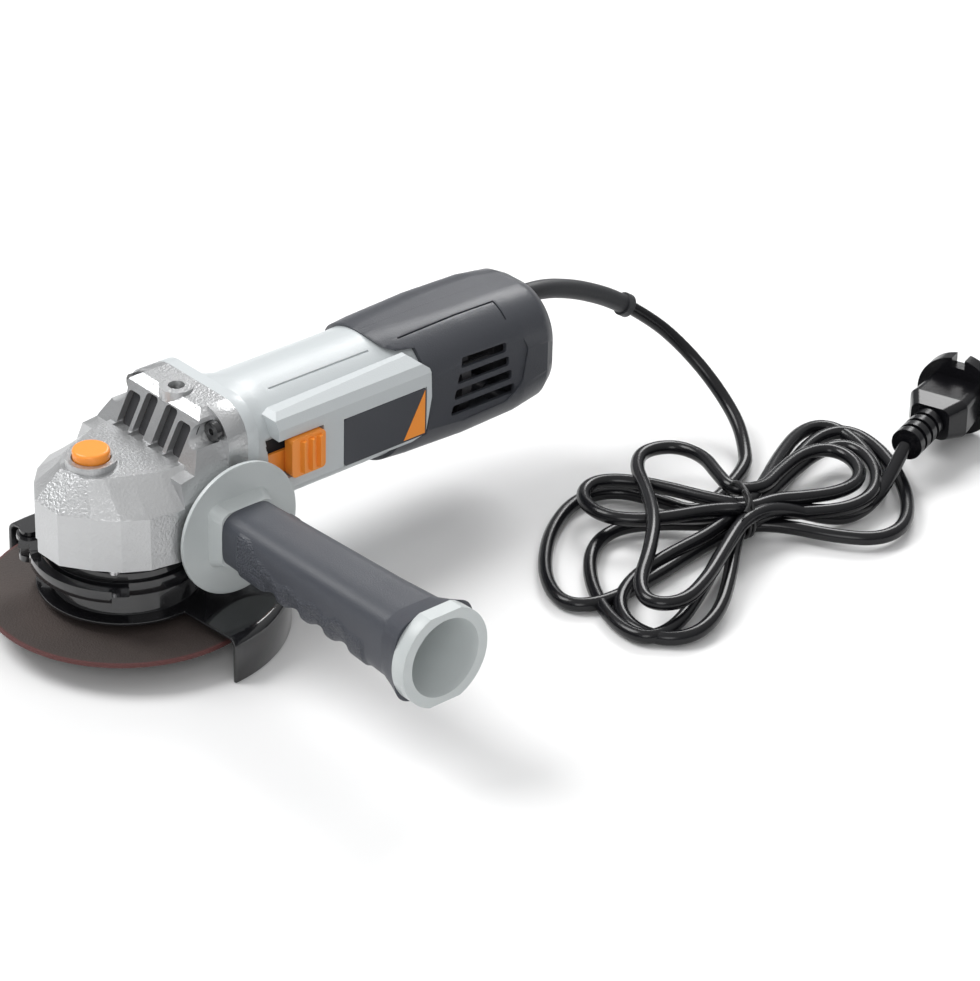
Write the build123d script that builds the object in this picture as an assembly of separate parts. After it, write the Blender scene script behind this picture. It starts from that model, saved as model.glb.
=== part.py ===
from build123d import *
from math import atan, cos, pi, radians, sin, sqrt, tan
import os

os.makedirs("parts", exist_ok=True)

# ---- driving dimensions, mm. Origin: free end of the spindle. +X nose, +Y side handle, +Z up ----
MOTOR_Z = 54.0            # height of the motor shaft above the spindle's free end
FLOOR_Z = -9.0            # surface the tool lies on, level with the guard's skirt
HOUSING_X = -37.0         # joint between gear housing and motor housing
TAIL_X = -208.0           # rear end of the body
SPINDLE_R = 7.0           # M14 spindle, where its thread stands free of the nut
SEAT_R = 6.1              # core of that thread, inside the nut and the backing flange
NOSE_L = 3.3              # free thread below the nut
DISC_R = 57.5             # 115 mm wheel
DISC_BORE_R = 11.15
DISC_T = 1.8
DISC_Z = 3.3              # underside of the wheel's rim
HUB_R = 22.0
HUB_RISE = 5.0
SKIRT_R = 66.6            # outer radius of the wheel guard
GUARD_T = 1.5
GUARD_TOP = 10.7
NECK_R = 28.0             # neck that the guard clamps to
BAND_Z = (20.8, 26.7)     # clamp band
COLLAR_TOP = 29.8         # top of the guard's collar
CROWN_TEETH = 37
PINION_TEETH = 11
CROWN_R = 24.0            # outer pitch radius of the crown gear
TOOTH_W = 5.5             # face width
HANDLE_X = -27.0
HANDLE_Z = 41.4
HANDLE_FACE = 35.6        # outer face of the handle bosses
HANDLE_END = 165.0
M8_HOLE_R = 3.4
LOCK_X = 15.5             # spindle-lock pin
CORD_R = 3.0
BOOT_Z = 70.0
RUN = 0.05                # radial clearance of a running fit
GAP = 0.3                 # clearance between parts that move past each other


# ---- small helpers ----
def save(node, shape):
    """Write one node, a single solid or a group of like solids."""
    if isinstance(shape, (list, tuple)):
        shape = Compound(children=[s for item in shape for s in item.solids()])
    export_step(shape, f"parts/{node}.step")


def cyl(axis, r, a, b, at=(0, 0)):
    """Cylinder from a to b along one axis; at gives its other two coordinates in X, Y, Z order."""
    mid = (a + b) / 2
    body = Cylinder(r, abs(b - a))
    if axis == "x":
        return Pos(mid, at[0], at[1]) * Rot(0, 90, 0) * body
    if axis == "y":
        return Pos(at[0], mid, at[1]) * Rot(90, 0, 0) * body
    return Pos(at[0], at[1], mid) * body


def tube(axis, r_out, r_in, a, b, at=(0, 0)):
    return cyl(axis, r_out, a, b, at) - cyl(axis, r_in, a - 1, b + 1, at)


def block(x, y, z):
    """Box between three pairs of limits."""
    size = [abs(p[1] - p[0]) for p in (x, y, z)]
    centre = [(p[1] + p[0]) / 2 for p in (x, y, z)]
    return Pos(*centre) * Box(*size)


def outline(points, radius=0.0):
    face = Polygon(*points, align=None)
    return fillet(face.vertices(), radius) if radius else face


def prism(plane, points, a, b, radius=0.0):
    """Outline extruded from a to b across XY (along Z), YZ (along X) or XZ (along Y)."""
    face = outline(points, radius)
    if plane == "xy":
        return extrude(Plane.XY.offset(a) * face, amount=b - a, dir=(0, 0, 1))
    if plane == "yz":
        return extrude(Plane.YZ.offset(a) * face, amount=b - a, dir=(1, 0, 0))
    return extrude(Plane.XZ.offset(-a) * face, amount=b - a, dir=(0, 1, 0))


def mirrored(points):
    """Half outline with its other half across the first coordinate's axis, second coordinate negated."""
    return points + [(u, -v) for u, v in reversed(points)]


def section(x, half_w, half_h, corner, z=MOTOR_Z):
    """Rounded rectangle across the motor axis."""
    return Plane.YZ.offset(x) * Pos(0, z) * RectangleRounded(2 * half_w, 2 * half_h, corner)


def skin(rows):
    """Straight-sided loft through rows of (x, half width, half height, corner radius)."""
    return loft([section(*row) for row in rows], ruled=True)


def ring_holes(r, pcd_r, count, a, b, start=0.0):
    """Cylinders on a circle about the spindle, to be cut away or kept."""
    places = [radians(start + 360 / count * i) for i in range(count)]
    return [cyl("z", r, a, b, (pcd_r * cos(t), pcd_r * sin(t))) for t in places]


def screw(axis, r, head_r, head, tip, at):
    """Pan-head screw with a round drive recess; head is the outer face, the shank runs to tip."""
    way = 1 if tip > head else -1
    body = cyl(axis, head_r, head, head + way * 2.4, at) + cyl(axis, r, head + way * 2.4, tip, at)
    return body - cyl(axis, head_r * 0.34, *sorted((head - way, head + way * 1.2)), at)


# ---- bevel gears: planar flanks that all run to the shafts' crossing point ----
MODULE = 2 * CROWN_R / CROWN_TEETH
PINION_R = MODULE * PINION_TEETH / 2
CROWN_CONE = atan(CROWN_TEETH / PINION_TEETH)
CONE_L = sqrt(CROWN_R ** 2 + PINION_R ** 2)
ADDENDUM = atan(0.8 * MODULE / CONE_L)
DEDENDUM = atan(1.1 * MODULE / CONE_L)


def star(teeth, r_root, r_tip, root_share=0.62, tip_share=0.22):
    """Toothed outline, one tooth centred on the first axis."""
    pitch = 2 * pi / teeth
    points = []
    for i in range(teeth):
        corners = ((-root_share, r_root), (-tip_share, r_tip), (tip_share, r_tip), (root_share, r_root))
        for share, r in corners:
            t = pitch * (i + share / 2)
            points.append((r * cos(t), r * sin(t)))
    return Polygon(*points, align=None)


def toothed_cone(teeth, cone, near, far):
    """Toothed frustum with its apex at the local origin, opening along local +Z."""
    rows = []
    for h in (near, far):
        rows.append(Pos(0, 0, h) * star(teeth, h * tan(cone - DEDENDUM), h * tan(cone + ADDENDUM)))
    return loft(rows, ruled=True)


def crown_gear():
    teeth = toothed_cone(CROWN_TEETH, CROWN_CONE, 4.3, 9.0)
    teeth = Pos(0, 0, MOTOR_Z) * Rot(180, 0, 0) * teeth
    teeth = teeth & tube("z", CROWN_R, CROWN_R - TOOTH_W, 40, 52)
    web = cyl("z", CROWN_R, 40.5, MOTOR_Z - 8.9)
    gear = web + teeth + cyl("z", 10.0, 40.5, 47.0)
    gear -= cyl("z", 6.0, 39, 53)
    for hole in ring_holes(2.6, LOCK_X, 4, 39, 53):
        gear -= hole
    return gear


def pinion():
    near, far = (CROWN_R - TOOTH_W), CROWN_R
    teeth = toothed_cone(PINION_TEETH, pi / 2 - CROWN_CONE, near, far)
    teeth = Pos(0, 0, MOTOR_Z) * Rot(0, -90, 0) * Rot(0, 0, 180) * teeth
    return teeth + cyl("x", 5.0, -27.0, -23.9, (0, MOTOR_Z)) - cyl("x", 3.5, -30, -15, (0, MOTOR_Z))


def pinion_nut():
    """Small hexagon with a collar that bears on the pinion."""
    nut = prism("yz", [(5.0 * cos(radians(60 * i)), MOTOR_Z + 5.0 * sin(radians(60 * i))) for i in range(6)],
                -18.0, -15.0)
    return nut + cyl("x", 4.3, -18.5, -18.0, (0, MOTOR_Z)) - cyl("x", 3.5, -19, -14, (0, MOTOR_Z))


# ---- gear head ----
HEAD_PLAN = [(-20, 35.3), (0, 35.3), (12, 33.2), (22, 27.5), (30, 19), (38, 7.5)]
CROWN_PLAN = [(-20, 25), (0, 22), (10, 17.5), (19, 13.5), (24.5, 9), (27, 4.5)]
VENT_SIDE = [(-37, 39.3), (-2, 39.3), (-4, 66), (-11, 67), (-20.5, 84.5), (-24.5, 87.5), (-37, 87.5)]
VENT_FRONT = [(35.3, 39), (35.3, 58), (31, 69), (22.5, 85), (18, 88)]
FLANGE_SCREWS = [(25.5, 79.5), (-25.5, 79.5), (25.5, 31.0), (-25.5, 31.0)]
COVER_SCREW_R = 30.5
COVER_SCREW_TURN = 45.0
FLANGE_BOX = (32.8, 32.2, 15.0, 55.3)     # half width, half height, corner, middle height


def flange_plate(a, b):
    half_w, half_h, corner, z = FLANGE_BOX
    plate = Plane.YZ.offset(a) * Pos(0, z) * RectangleRounded(2 * half_w, 2 * half_h, corner)
    return extrude(plate, amount=b - a, dir=(1, 0, 0))


def vent_slots():
    """Four air outlets in the sloping rear of the head, in line with the fan."""
    slots = []
    for y, half, top in ((-16.2, 4.0, 81.5), (-6.3, 3.7, 84.0), (6.3, 3.7, 84.0), (16.2, 4.0, 81.5)):
        shape = [(y - half, 67.5), (y + half, 67.5), (y + half, top), (y - half, top)]
        slots.append(prism("yz", shape, -37.5, -9.8, 1.8))
    return slots


def gear_housing():
    """Cast head: faceted nose, lock boss, vent housing, rear flange and two handle bosses."""
    body = prism("xy", mirrored(HEAD_PLAN), 39.3, 56.5)
    dome = [Pos(0, 0, z) * outline(mirrored(rows)) for z, rows in ((56.5, HEAD_PLAN), (68.5, CROWN_PLAN))]
    body += loft(dome, ruled=True)
    side = prism("xz", VENT_SIDE, -40, 40)
    body += side & prism("yz", VENT_FRONT + [(-y, z) for y, z in reversed(VENT_FRONT)], HOUSING_X, 0)
    body += flange_plate(HOUSING_X, -27.5)
    for way in (1, -1):
        a, b = sorted((way * 26, way * HANDLE_FACE))
        boss = cyl("y", 12.5, a, b, (HANDLE_X, HANDLE_Z))
        body += boss & block((HOUSING_X, 0), (-50, 50), (20, 60))
    body += cyl("z", 10.5, 66, 71.5, (LOCK_X, 0)) + cyl("z", 7.0, 84, 89.0, (HANDLE_X, 0))
    body -= cyl("z", 25.6, 38, 61.5)
    body -= cyl("z", 5.0, 60, 66.2)
    body -= cyl("z", 2.25, 60, 74, (LOCK_X, 0))
    body -= cyl("z", 8.0, 66.5, 74, (LOCK_X, 0))
    body -= cyl("x", 11.0, -37.5, -29.5, (0, MOTOR_Z)) + cyl("x", 8.5, -30, -10, (0, MOTOR_Z))
    for slot in vent_slots():
        body -= slot
    body -= cyl("z", M8_HOLE_R, 72, 92, (HANDLE_X, 0))
    for way in (1, -1):
        a, b = sorted((way * 24.5, way * 40))
        body -= cyl("y", M8_HOLE_R, a, b, (HANDLE_X, HANDLE_Z))
    for y, z in FLANGE_SCREWS:
        body -= cyl("x", 2.1, -38, -26, (y, z)) + cyl("x", 4.6, -26.9, -12, (y, z))
    body -= cyl("z", NECK_R + 6.0, 22.0, 33.6) & block((-36, 0), (-40, 40), (20, 33.6))
    for hole in ring_holes(1.7, COVER_SCREW_R, 4, 38, 50, COVER_SCREW_TURN):
        body -= hole
    return max(body.solids(), key=lambda s: s.volume)


def cover_outline(inset, a, b):
    """Plate that follows the head's outline, clear of the handle bosses and the rear flange."""
    half = [(-26, 24.3), (-13.8, 24.3), (-13.2, 35.3 - inset)]
    half += [(x - inset, y - inset) for x, y in HEAD_PLAN[1:]]
    return prism("xy", mirrored(half), a, b)


def gear_case_cover():
    """Bearing plate that closes the head from below, with the neck for the guard."""
    plate = cover_outline(0.5, 33, 38.9)
    cover = plate + cyl("z", NECK_R, 14, 33.5) + cyl("z", 25.4, 38, 40.2)
    cover -= cyl("z", 22.5, 13, 18.3)
    cover -= cyl("z", 9.5, 13, 25)
    cover -= cyl("z", 16.0, 21.0, 50)
    for hole in ring_holes(1.9, COVER_SCREW_R, 4, 32, 40, COVER_SCREW_TURN):
        cover -= hole
    cover -= cyl("z", 20, 33, 50)
    for y, z in FLANGE_SCREWS:
        cover -= cyl("x", 4.8, -50, 0, (y, z))
    return cover


def gasket():
    ring = cover_outline(1.2, 38.9, 39.3)
    ring -= cyl("z", 25.6, 38, 40)
    for hole in ring_holes(1.9, COVER_SCREW_R, 4, 38, 41, COVER_SCREW_TURN):
        ring -= hole
    return ring


def ball_bearing(axis, r_out, r_in, a, b, at=(0, 0)):
    """Outer ring, inner ring and balls, with free play between them."""
    step = (r_out - r_in) / 3
    outer = tube(axis, r_out, r_out - step * 0.8, a, b, at)
    inner = tube(axis, r_in + step * 0.8, r_in, a, b, at)
    mean, ball = (r_out + r_in) / 2, step * 0.65
    balls = []
    for i in range(8):
        t = radians(45 * i)
        u, v, w = mean * cos(t), mean * sin(t), (a + b) / 2
        place = (w, at[0] + u, at[1] + v) if axis == "x" else (at[0] + u, at[1] + v, w)
        balls.append(Pos(*place) * Sphere(ball))
    return outer, inner, balls


# ---- spindle group ----
def spindle():
    steps = [(SPINDLE_R, 0, NOSE_L), (SEAT_R, NOSE_L, 16.6), (8.6, 16.6, 20.9), (7.5, 20.9, 40.5),
             (6.0, 40.5, 49.0), (4.0 - RUN, 49.0, 65.5)]
    shaft = cyl("z", *steps[0])
    for r, a, b in steps[1:]:
        shaft += cyl("z", r, a, b)
    return shaft


def backing_flange():
    plate = cyl("z", 20.5, 10.2, 14.6) + cyl("z", 12.5, 14.6, 16.6) + cyl("z", 11.05, 8.3, 10.2)
    return plate - cyl("z", SEAT_R, 8, 17)


def cutting_disc():
    """Thin wheel with a raised centre."""
    hub = DISC_Z + HUB_RISE
    half = [(DISC_BORE_R, hub), (HUB_R - 3, hub), (HUB_R + 3, DISC_Z), (DISC_R, DISC_Z),
            (DISC_R, DISC_Z + DISC_T), (HUB_R + 3.6, DISC_Z + DISC_T), (HUB_R - 2.4, hub + DISC_T),
            (DISC_BORE_R, hub + DISC_T)]
    return revolve(Plane.XZ * outline(half), Axis.Z)


def clamping_nut():
    nut = cyl("z", 15.0, 3.6, 8.3) - cyl("z", SEAT_R, 3, 9)
    for hole in ring_holes(2.3, 11.2, 4, 3, 7.2):
        nut -= hole
    return nut


# ---- motor ----
def armature_core():
    core = cyl("x", 16.2, -118, -76, (0, MOTOR_Z)) - cyl("x", 4.0, -120, -70, (0, MOTOR_Z))
    for i in range(12):
        t = radians(30 * i)
        core -= cyl("x", 1.3, -120, -70, (15.6 * cos(t), MOTOR_Z + 15.6 * sin(t)))
    return core


def armature_windings():
    return [tube("x", 13.8, 4.0, -76, -68, (0, MOTOR_Z)), tube("x", 13.8, 4.0, -127, -118, (0, MOTOR_Z))]


def commutator():
    body = tube("x", 11.0, 4.0, -148, -129, (0, MOTOR_Z))
    for i in range(24):
        t = 15 * i
        cut = Pos(0, 0, MOTOR_Z) * Rot(t, 0, 0) * block((-149, -131), (-0.3, 0.3), (10.2, 12))
        body -= cut
    return body


def fan():
    """Hub, back plate and straight blades that blow air into the gear head."""
    wheel = tube("x", 8.0, 4.0, -62, -47, (0, MOTOR_Z)) + tube("x", 22.5, 4.0, -62, -60.4, (0, MOTOR_Z))
    for i in range(13):
        blade = block((-60.6, -49), (-0.7, 0.7), (7.5, 22.3))
        wheel += Pos(0, 0, MOTOR_Z) * Rot(360 / 13 * i, 0, 0) * blade
    return wheel


def stator_core():
    core = tube("x", 25.0, 22.0, -117, -77, (0, MOTOR_Z))
    for way in (1, -1):
        pole = (tube("x", 22.5, 17.0, -117, -77, (0, MOTOR_Z))
                & block((-117, -77), (-13, 13), sorted((MOTOR_Z, MOTOR_Z + way * 23))))
        core += pole
    return core


def field_coils():
    """One wound coil round each pole, seen as end turns in front of and behind the core."""
    turns = []
    for a, b in ((-76.8, -69), (-126, -117.2)):
        for way in (1, -1):
            coil = tube("x", 23.5, 17.4, a, b, (0, MOTOR_Z))
            turns.append(coil & block((a, b), (-19, 19), sorted((MOTOR_Z + way * 6, MOTOR_Z + way * 26))))
    return turns


def fan_baffle():
    ring = tube("x", 25.0, 16.5, -66.5, -64.5, (0, MOTOR_Z)) + tube("x", 25.0, 23.6, -66, -48, (0, MOTOR_Z))
    return ring


# ---- motor housing and tail ----
SHELL = 2.5
BODY_ROWS = [(-37.1, 31.0, 31.5, 20), (-44, 29.6, 29.8, 24), (-56, 28.2, 28.2, 28.1),
             (-116, 28.0, 28.0, 27.9), (-136, 28.7, 28.6, 28.5)]
BODY_BORE = [(-36, 27.0, 27.0, 26.9), (-56, 25.7, 25.7, 25.6), (-62, 25.2, 25.2, 25.1),
             (-117, 25.2, 25.2, 25.1), (-136, 26.2, 26.2, 26.1)]
TAIL_ROWS = [(-100, 28.2, 28.2, 28.1), (-130, 29.3, 28.8, 25), (-160, 28.6, 28.6, 21), (-188, 27.6, 28.0, 20),
             (-202, 26.2, 26.6, 20), (-206.5, 24.2, 24.6, 20), (-208, 22.0, 22.4, 19)]
TAIL_CUT = [(-210, 20), (-210, 90), (-119.5, 90), (-119.5, 82), (-121.5, 80), (-125.5, 78.5), (-134.3, 77.8),
            (-134.3, 40.7), (-121, 40.7), (-118, 20)]
TAIL_CUT_PLAIN = [(-210, 20), (-210, 90), (-119.5, 90), (-119.5, 82), (-127, 60), (-118, 20)]
PANEL = [(-54, 42.5), (-54, 75), (-57, 77), (-127, 78.3), (-133.5, 73), (-134, 60), (-131, 44.5), (-125, 41)]
PANEL_FRONT = [(20, 38), (28.5, 40), (31.2, 44), (31.2, 71.5), (28.8, 75.2), (22.5, 78.5), (20, 78.5)]
RECESS = [(-134.4, 41), (-134.4, 77.2), (-184, 75), (-190, 62), (-187, 47), (-178, 41)]
RECESS_DEPTH = [(-134.4, 28.2), (-190, 26.7), (-190, 40), (-134.4, 40)]


def inner(rows, wall=SHELL):
    return [(x, w - wall, h - wall, c - wall) for x, w, h, c in rows]


def side_panel():
    """Raised flat panel on the switch side, which covers the slide's rod and carries the badge."""
    return prism("xz", PANEL, 20.0, 31.2) & prism("yz", PANEL_FRONT, -140, -50)


def groove(rows, depth, x, y, z):
    """Shallow line cut in a skin, to be taken away."""
    return block(x, y, z) & (skin(rows) - skin(inner(rows, depth)))


def motor_housing():
    """Light shell round the motor, with a front flange, side panels and the rod's channel."""
    body = skin(BODY_ROWS)
    body += flange_plate(-42.5, HOUSING_X - 0.05)
    body -= prism("xz", TAIL_CUT, 0, 40) + prism("xz", TAIL_CUT_PLAIN, -40, 0)
    body += side_panel()
    body -= skin(BODY_BORE)
    body -= block((-77.0, -50.4), (24, 32), (48.7, 66.9))
    body -= block((-140, -50.0), (22.0, 28.2), (60.4, 64.6))
    body -= block((-78, -41.5), (24.0, 27.7), (49.6, 60.4))
    for y in (11.5, 19.5):
        body -= groove(BODY_ROWS[2:], 0.6, (-116, -64), (y, y + 0.8), (70, 90))
    body -= block((-131.2, -87.4), (30.4, 32), (43.6, 65.6))
    for y, z in FLANGE_SCREWS:
        body -= cyl("x", 2.1, -43, -36, (y, z))
    return max(body.solids(), key=lambda s: s.volume)


VENT_SLOTS = 4
VENT_PITCH = 6.9
VENT_LOW = 44.6


def tail_body():
    """Dark rear shell with slanted cooling slots and a sealed cable exit."""
    edge = prism("xz", TAIL_CUT, 0, 40) + prism("xz", TAIL_CUT_PLAIN, -40, 0)
    body = skin(TAIL_ROWS) & edge
    body -= prism("xz", PANEL, 19.7, 40)
    body -= skin(inner(TAIL_ROWS[:-2]) + [(-205.5, 21.7, 22.1, 17.5)])
    for i in range(VENT_SLOTS):
        z = VENT_LOW + VENT_PITCH * i
        lean = 1.7 * i
        shape = [(-147.2 - lean, z), (-183 + lean, z - 1.0), (-183 + lean, z + 3.4), (-148.6 - lean, z + 4.4)]
        body -= prism("xz", shape, -40, 40, 1.1)
    body -= prism("xy", RECESS_DEPTH, 40, 90) & prism("xz", RECESS, 20, 40, 4)
    body -= groove(TAIL_ROWS, 0.7, (-182, -130), (13.2, 14.0), (74, 90))
    body -= groove(TAIL_ROWS, 0.7, (-182, -181.2), (13.2, 22), (70, 90))
    body -= cyl("x", 5.3, -210, -200, (0, BOOT_Z))
    return body


TAIL_SCREWS = [(-140, 29.0), (-192, 30.0), (-198.5, 46.0)]


def tail_half(way):
    """Left or right shell, split on the tool's middle plane."""
    keep = block((-215, -99), sorted((way * 0.02, way * 40)), (15, 95))
    shell = tail_body() & keep
    shell = max(shell.solids(), key=lambda s: s.volume)
    for x, z in TAIL_SCREWS:
        if way > 0:
            shell += cyl("y", 3.4, 0.02, 14, (x, z)) & skin(TAIL_ROWS)
            shell -= cyl("y", 1.25, -1, 12, (x, z))
        else:
            shell += cyl("y", 3.8, -16, -0.02, (x, z)) & skin(TAIL_ROWS)
            shell -= cyl("y", 1.4, -30, 1, (x, z)) + cyl("y", 2.7, -30, -9.9, (x, z))
    return max(shell.solids(), key=lambda s: s.volume)


def rear_bearing_bridge():
    """Moulded spider that seats the rear motor bearing and the brush gear."""
    plate = tube("x", 24.9, 9.55, -161, -156, (0, MOTOR_Z)) - block((-162, -155), (21.6, 26), (60.4, 64.6))
    for y in (-16.5, 16.5):
        plate -= block((-162, -155), (y - 4, y + 4), (MOTOR_Z - 14, MOTOR_Z + 14))
    return plate + tube("x", 12.0, 9.55, -163.5, -156, (0, MOTOR_Z))


def brush_holder(way):
    a, b = sorted((way * 12.2, way * 24.2))
    outer_box = block((-144.5, -132.5), (a, b), (MOTOR_Z - 5.2, MOTOR_Z + 5.2))
    return outer_box - block((-142.6, -134.4), (-26, 26), (MOTOR_Z - 3.3, MOTOR_Z + 3.3))


def carbon_brush(way):
    a, b = sorted((way * 11.1, way * 19.0))
    return block((-142.4, -134.6), (a, b), (MOTOR_Z - 3.1, MOTOR_Z + 3.1))


def brush_spring(way):
    a, b = sorted((way * 19.0, way * 23.8))
    return tube("y", 2.9, 2.1, a, b, (-138.5, MOTOR_Z))


# ---- controls ----
def switch_slider():
    """Thumb slide with three grip ridges; it runs forward in the recess of the side panel."""
    a, b = -76.2, -59.0
    pad = prism("xz", [(a, 49.2), (a, 66.4), (b, 66.4), (b, 49.2)], 28.6, 33.4, 2)
    pad += block((a + 1.5, b - 1.5), (27.5, 29.0), (50, 60))
    pad += block((a + 0.4, b + 8.0), (26.2, 27.5), (50, 60))
    for i in range(3):
        x = -63.0 - 4.2 * i
        pad += prism("xy", [(x, 33.3), (x - 2.8, 33.3), (x - 1.9, 35.2), (x - 0.9, 35.2)], 50.8, 64.8)
    return pad


def switch_rod():
    """Flat rod that links the slide to the switch, stepped inwards behind the motor housing."""
    rod = block((-132, -62), (26.2, 27.4), (61, 64)) + block((-132, -129.5), (22.3, 27.4), (61, 64))
    return rod + block((-172, -129.5), (22.3, 23.5), (61, 64))


def power_switch():
    return block((-193.5, -180.5), (-10, 16), (47, 64))


def lock_button():
    """Dished cap on the spindle lock."""
    cap = cyl("z", 7.6, 70.9, 75.4, (LOCK_X, 0))
    cap = fillet(cap.edges().sort_by(Axis.Z)[-1], 1.4)
    return cap + cyl("z", 4.2, 70.6, 71.2, (LOCK_X, 0))


def lock_pin():
    """Reaches 1.5 mm into a web hole of the crown gear when the button is pressed by 4 mm."""
    return cyl("z", 2.15, 47.6, 70.6, (LOCK_X, 0))


def lock_spring():
    return tube("z", 6.6, 5.4, 66.5, 70.9, (LOCK_X, 0))


# ---- side handle ----
GRIP_ROWS = [(45.0, 13.0, 12.3, 4.5), (58, 13.4, 12.6, 5.0), (90, 14.2, 13.2, 6.0), (125, 15.0, 14.0, 6.5),
             (146, 16.0, 15.0, 7.5), (153, 18.2, 17.2, 9.0), (158.3, 19.8, 18.8, 10.0)]
CUP = [(12.4, 140.0), (14.0, 145.0), (17.6, 158.3)]     # outside of the end cup: radius, Y
CUP_IN = [(11.0, 142.0), (12.2, 146.0), (16.6, 165.2)]  # inside of it


def grip_section(y, half_x, half_z, corner):
    return Plane.XZ.offset(-y) * Pos(HANDLE_X, HANDLE_Z) * RectangleRounded(2 * half_x, 2 * half_z, corner)


def turned(rows):
    """Solid of revolution about the handle's axis through rows of (radius, Y)."""
    half = [(0, rows[0][1])] + rows + [(0, rows[-1][1])]
    return Pos(HANDLE_X, 0, HANDLE_Z) * revolve(Plane.XY * outline(half), Axis.Y)


def handle_core():
    """Hard core with the hand-guard disc at the tool end and an open cup with a ring at the far end."""
    core = cyl("y", 10.0, 36.5, 141, (HANDLE_X, HANDLE_Z))
    hub = [grip_section(y, half, half - 0.7, 4.5) for y, half in ((38.8, 15.0), (45.0, 13.0))]
    core += loft(hub, ruled=True)
    rim = [(0, 35.9), (14, 35.7), (26, 36.8), (28.4, 38.4), (28.4, 40.0), (25.2, 39.3), (14, 38.8), (0, 38.8)]
    dish = revolve(Plane.XY * outline([(r, y) for r, y in rim]), Axis.Y)
    core += Pos(HANDLE_X, 0, HANDLE_Z) * dish
    ring = cyl("y", 21.0, 158.3, HANDLE_END, (HANDLE_X, HANDLE_Z))
    ring = ring & block((-60, 10), (150, 170), (HANDLE_Z - 19.6, HANDLE_Z + 19.6))
    core += ring
    core += turned(CUP)
    core -= turned(CUP_IN)
    core -= cyl("y", 4.0, 35, 62, (HANDLE_X, HANDLE_Z))
    return core


def handle_grip():
    grip = loft([grip_section(*row) for row in GRIP_ROWS], ruled=True)
    grip -= cyl("y", 10.0, 38, 140.5, (HANDLE_X, HANDLE_Z))
    return grip - turned(CUP)


def handle_stud():
    at = (HANDLE_X, HANDLE_Z)
    return cyl("y", M8_HOLE_R - 0.1, 26, 36.0, at) + cyl("y", 4.0, 36.0, 62, at)


# ---- wheel guard ----
GUARD_START = 93.0        # covered arc, degrees about the spindle
GUARD_SPAN = 186.0
LUG = (27.2, -27.2)       # upright pivot of the quick lever


def sector(r, a, b, start, span):
    """Wedge of a cylinder about the spindle."""
    steps = 8
    points = [(0, 0)]
    for i in range(steps + 1):
        t = radians(start + span * i / steps)
        points.append((2 * r * cos(t), 2 * r * sin(t)))
    return cyl("z", r, a, b) & prism("xy", points, a, b)


def guard_shell():
    """Half cover with a rolled skirt, and a collar round the neck."""
    cover = sector(SKIRT_R, FLOOR_Z, GUARD_TOP, GUARD_START, GUARD_SPAN)
    top_edge = [e for e in cover.edges().filter_by(GeomType.CIRCLE) if e.center().Z > 5 and e.radius > 60]
    cover = fillet(top_edge, 4.0)
    hollow = sector(SKIRT_R - GUARD_T, FLOOR_Z - 1, GUARD_TOP - GUARD_T, GUARD_START - 5, GUARD_SPAN + 10)
    low_edge = [e for e in hollow.edges().filter_by(GeomType.CIRCLE) if e.center().Z > 5 and e.radius > 60]
    cover -= fillet(low_edge, 2.5)
    plate = cyl("z", 36.0, GUARD_TOP - GUARD_T, GUARD_TOP)
    cover = cover + plate
    cover -= cyl("z", NECK_R + GAP, 0, 20)
    cover += tube("z", NECK_R + GAP + 1.5, NECK_R + GAP, GUARD_TOP - GUARD_T, COLLAR_TOP)
    return cover


def clamp_band():
    """Split steel band with two lugs, drawn together by the lever's screw."""
    inner_r = NECK_R + GAP + 1.5
    band = tube("z", inner_r + 2.2, inner_r, *BAND_Z)
    lug = block((30, 41.5), (-5.0, 5.0), BAND_Z)
    band += Rot(0, 0, -45) * lug
    band -= Rot(0, 0, -45) * block((26, 43), (-1.0, 1.0), (10, 34))
    return band - cyl("z", 2.6, 10, 34, LUG)


def clamp_screw():
    low, high = BAND_Z
    shank = cyl("z", 2.5, low - 1.0, high + 2.7, LUG)
    return shank + cyl("z", 4.0, high + 2.7, high + 4.3, LUG) + cyl("z", 4.4, low - 3.4, low - 0.8, LUG)


def guard_lever():
    """Curved over-centre lever that wraps the front of the band."""
    a, b = BAND_Z[0] + 0.5, BAND_Z[1] - 0.4
    eye_low, eye_high = BAND_Z[1] + 0.3, BAND_Z[1] + 2.3
    arm = sector(38.5, a, b, -29, 84) - cyl("z", 34.0, a - 1, b + 1)
    eye = cyl("z", 5.2, eye_low, eye_high, LUG)
    eye += Rot(0, 0, -45) * block((34.5, 41.5), (0, 9.5), (eye_low, eye_high))
    link = Rot(0, 0, -29) * block((34.2, 38.3), (-3.0, 4.0), (a, eye_high))
    tip = Rot(0, 0, 54) * block((34.2, 42.0), (-6, 1), (a, b))
    return arm + eye + link + tip - cyl("z", 2.5 + RUN, 14, 34, LUG)


# ---- cable, boot and plug ----
BOOT_PATH = [(-203, 0, BOOT_Z), (-222, 0.2, 69.0), (-240, 1.0, 63.0), (-256, 2.5, 55.0), (-268, 4.5, 47.0)]
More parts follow.
